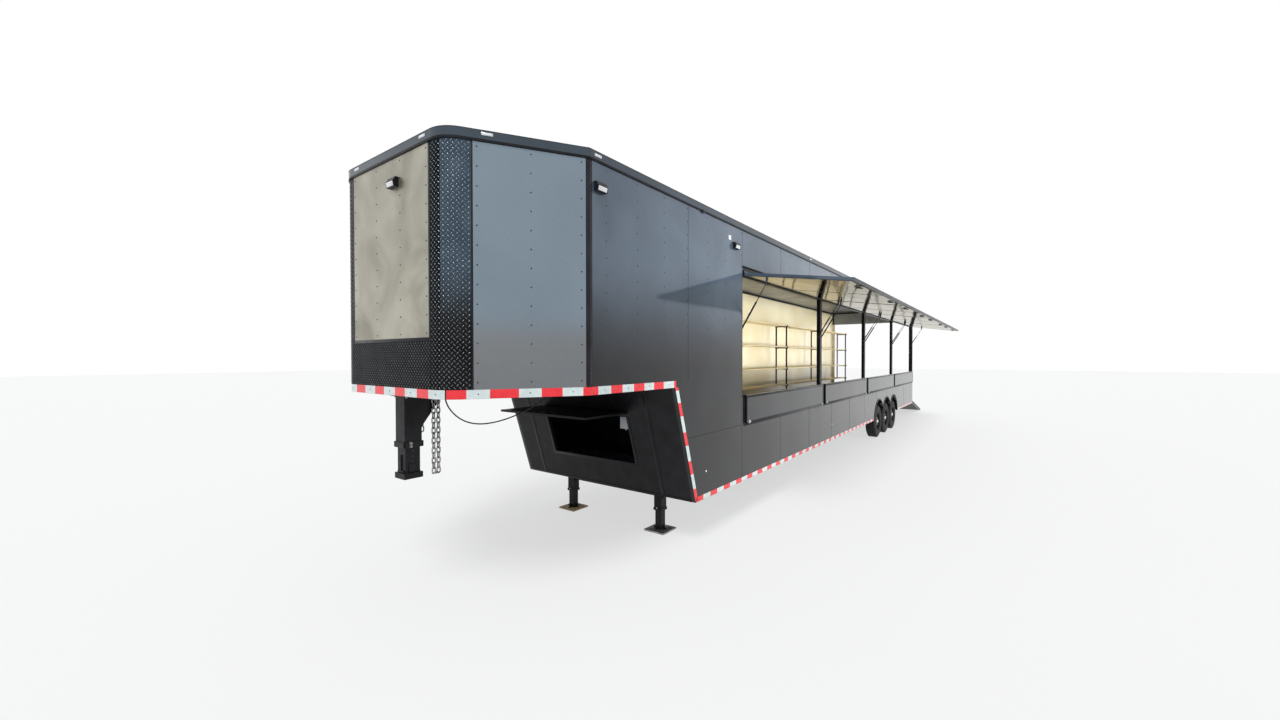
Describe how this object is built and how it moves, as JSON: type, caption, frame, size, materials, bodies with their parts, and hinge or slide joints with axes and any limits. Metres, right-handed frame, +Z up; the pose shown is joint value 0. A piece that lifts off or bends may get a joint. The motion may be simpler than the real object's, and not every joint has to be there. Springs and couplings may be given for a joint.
{
  "type": "concession trailer",
  "caption": "Long gooseneck concession trailer with raised nose, awning doors on gas struts, counter flaps, a rear ramp and a belly hatch.",
  "frame": {"origin": "on the ground under the middle of the whole outline", "axes": "+X towards the nose, +Y towards the serving side, +Z up"},
  "size_m": [18.6908, 3.8728, 3.571],
  "materials": {
    "charcoal_skin": "gloss",
    "black_trim": "satin",
    "black_steel": "satin",
    "grey_steel": "satin",
    "tyre_rubber": "matte",
    "strut_rod": "polished",
    "floor_board": "matte",
    "shelf_wood": "satin",
    "cable_rubber": "matte"
  },
  "bodies": {
    "trailer": {"bay_frame": "black_trim", "brake_cable": "cable_rubber", "chassis_frame": "black_steel", "coupler_stem": "grey_steel", "coupler_tube": "black_steel", "drop_wall": "black_steel", "hinge_rail_upper": "black_trim", "landing_gear": "black_steel", "main_floor": "floor_board", "nose_floor": "black_steel", "nose_wall": "charcoal_skin", "rear_frame": "black_trim", "roof": "black_trim", "running_gear": "black_steel", "safety_chains": "grey_steel", "shelf_unit": "shelf_wood", "side_wall_left_bays": "charcoal_skin", "side_wall_left_front": "charcoal_skin", "side_wall_right_front": "charcoal_skin", "side_wall_right_rear": "charcoal_skin", "wheel_box_left": "floor_board", "wheel_box_right": "floor_board"},
    "awning_1": {"awning_1": "charcoal_skin"},
    "strut_tubes_1": {"strut_tube_1_front": "black_trim", "strut_tube_1_rear": "black_trim"},
    "strut_rods_1": {"strut_rod_1_front": "strut_rod", "strut_rod_1_rear": "strut_rod"},
    "flap_1": {"flap_1": "charcoal_skin"},
    "awning_2": {"awning_2": "charcoal_skin"},
    "strut_tubes_2": {"strut_tube_2_front": "black_trim", "strut_tube_2_rear": "black_trim"},
    "strut_rods_2": {"strut_rod_2_front": "strut_rod", "strut_rod_2_rear": "strut_rod"},
    "flap_2": {"flap_2": "charcoal_skin"},
    "awning_3": {"awning_3": "charcoal_skin"},
    "strut_tubes_3": {"strut_tube_3_front": "black_trim", "strut_tube_3_rear": "black_trim"},
    "strut_rods_3": {"strut_rod_3_front": "strut_rod", "strut_rod_3_rear": "strut_rod"},
    "flap_3": {"flap_3": "charcoal_skin"},
    "awning_4": {"awning_4": "charcoal_skin"},
    "strut_tubes_4": {"strut_tube_4_front": "black_trim", "strut_tube_4_rear": "black_trim"},
    "strut_rods_4": {"strut_rod_4_front": "strut_rod", "strut_rod_4_rear": "strut_rod"},
    "flap_4": {"flap_4": "charcoal_skin"},
    "wheel_1_left": {"tyre_1_left": "tyre_rubber", "rim_1_left": "black_steel"},
    "wheel_1_right": {"tyre_1_right": "tyre_rubber", "rim_1_right": "black_steel"},
    "wheel_2_left": {"tyre_2_left": "tyre_rubber", "rim_2_left": "black_steel"},
    "wheel_2_right": {"tyre_2_right": "tyre_rubber", "rim_2_right": "black_steel"},
    "wheel_3_left": {"tyre_3_left": "tyre_rubber", "rim_3_left": "black_steel"},
    "wheel_3_right": {"tyre_3_right": "tyre_rubber", "rim_3_right": "black_steel"},
    "rear_ramp": {"rear_ramp": "charcoal_skin"},
    "belly_hatch": {"belly_hatch": "black_steel"}
  },
  "joints": [
    {"name": "awning_1_hinge", "type": "hinge", "parent": "trailer", "child": "awning_1", "pos_m": [4.17539, 0.67258, 2.9975], "axis": [1, 0, 0], "range_deg": [-81.9, 0]},
    {"name": "strut_tubes_1_pivot", "type": "hinge", "parent": "trailer", "child": "strut_tubes_1", "pos_m": [4.17539, 0.59478, 2.3], "axis": [1, 0, 0], "range_deg": [0, 34.54]},
    {"name": "strut_rods_1_slide", "type": "slide", "parent": "strut_tubes_1", "child": "strut_rods_1", "axis": [0, 0.5162, 0.8565], "range_m": [-0.2271, 0]},
    {"name": "flap_1_hinge", "type": "hinge", "parent": "trailer", "child": "flap_1", "pos_m": [4.17539, 0.64458, 1.5], "axis": [1, 0, 0], "range_deg": [0, 180]},
    {"name": "awning_2_hinge", "type": "hinge", "parent": "trailer", "child": "awning_2", "pos_m": [1.04539, 0.67258, 2.9975], "axis": [1, 0, 0], "range_deg": [-81.9, 0]},
    {"name": "strut_tubes_2_pivot", "type": "hinge", "parent": "trailer", "child": "strut_tubes_2", "pos_m": [1.04539, 0.59478, 2.3], "axis": [1, 0, 0], "range_deg": [0, 34.54]},
    {"name": "strut_rods_2_slide", "type": "slide", "parent": "strut_tubes_2", "child": "strut_rods_2", "axis": [0, 0.5162, 0.8565], "range_m": [-0.2271, 0]},
    {"name": "flap_2_hinge", "type": "hinge", "parent": "trailer", "child": "flap_2", "pos_m": [1.04539, 0.64458, 1.5], "axis": [1, 0, 0], "range_deg": [0, 180]},
    {"name": "awning_3_hinge", "type": "hinge", "parent": "trailer", "child": "awning_3", "pos_m": [-2.08461, 0.67258, 2.9975], "axis": [1, 0, 0], "range_deg": [-81.9, 0]},
    {"name": "strut_tubes_3_pivot", "type": "hinge", "parent": "trailer", "child": "strut_tubes_3", "pos_m": [-2.08461, 0.59478, 2.3], "axis": [1, 0, 0], "range_deg": [0, 34.54]},
    {"name": "strut_rods_3_slide", "type": "slide", "parent": "strut_tubes_3", "child": "strut_rods_3", "axis": [0, 0.5162, 0.8565], "range_m": [-0.2271, 0]},
    {"name": "flap_3_hinge", "type": "hinge", "parent": "trailer", "child": "flap_3", "pos_m": [-2.08461, 0.64458, 1.5], "axis": [1, 0, 0], "range_deg": [0, 180]},
    {"name": "awning_4_hinge", "type": "hinge", "parent": "trailer", "child": "awning_4", "pos_m": [-5.21461, 0.67258, 2.9975], "axis": [1, 0, 0], "range_deg": [-81.9, 0]},
    {"name": "strut_tubes_4_pivot", "type": "hinge", "parent": "trailer", "child": "strut_tubes_4", "pos_m": [-5.21461, 0.59478, 2.3], "axis": [1, 0, 0], "range_deg": [0, 34.54]},
    {"name": "strut_rods_4_slide", "type": "slide", "parent": "strut_tubes_4", "child": "strut_rods_4", "axis": [0, 0.5162, 0.8565], "range_m": [-0.2271, 0]},
    {"name": "flap_4_hinge", "type": "hinge", "parent": "trailer", "child": "flap_4", "pos_m": [-5.21461, 0.64458, 1.5], "axis": [1, 0, 0], "range_deg": [0, 180]},
    {"name": "wheel_1_left_spin", "type": "hinge", "parent": "trailer", "child": "wheel_1_left", "pos_m": [-1.85561, 0.53458, 0.39], "axis": [0, 1, 0], "continuous": true},
    {"name": "wheel_1_right_spin", "type": "hinge", "parent": "trailer", "child": "wheel_1_right", "pos_m": [-1.85561, -1.80042, 0.39], "axis": [0, 1, 0], "continuous": true},
    {"name": "wheel_2_left_spin", "type": "hinge", "parent": "trailer", "child": "wheel_2_left", "pos_m": [-2.77011, 0.53458, 0.39], "axis": [0, 1, 0], "continuous": true},
    {"name": "wheel_2_right_spin", "type": "hinge", "parent": "trailer", "child": "wheel_2_right", "pos_m": [-2.77011, -1.80042, 0.39], "axis": [0, 1, 0], "continuous": true},
    {"name": "wheel_3_left_spin", "type": "hinge", "parent": "trailer", "child": "wheel_3_left", "pos_m": [-3.68461, 0.53458, 0.39], "axis": [0, 1, 0], "continuous": true},
    {"name": "wheel_3_right_spin", "type": "hinge", "parent": "trailer", "child": "wheel_3_right", "pos_m": [-3.68461, -1.80042, 0.39], "axis": [0, 1, 0], "continuous": true},
    {"name": "rear_ramp_hinge", "type": "hinge", "parent": "trailer", "child": "rear_ramp", "pos_m": [-6.88361, -0.63292, 0.6], "axis": [0, 1, 0], "range_deg": [0, 103]},
    {"name": "belly_hatch_hinge", "type": "hinge", "parent": "trailer", "child": "belly_hatch", "pos_m": [7.13671, -0.63292, 1.365], "axis": [0, 1, 0], "range_deg": [0, 107.5]}
  ],
  "couplings": [
    {"joint": "strut_tubes_1_pivot", "follows": "awning_1_hinge", "ratio": -0.42113},
    {"joint": "strut_rods_1_slide", "follows": "awning_1_hinge", "m_per_rad": 0.1587},
    {"joint": "strut_tubes_2_pivot", "follows": "awning_2_hinge", "ratio": -0.42113},
    {"joint": "strut_rods_2_slide", "follows": "awning_2_hinge", "m_per_rad": 0.1587},
    {"joint": "strut_tubes_3_pivot", "follows": "awning_3_hinge", "ratio": -0.42113},
    {"joint": "strut_rods_3_slide", "follows": "awning_3_hinge", "m_per_rad": 0.1587},
    {"joint": "strut_tubes_4_pivot", "follows": "awning_4_hinge", "ratio": -0.42113},
    {"joint": "strut_rods_4_slide", "follows": "awning_4_hinge", "m_per_rad": 0.1587}
  ]
}
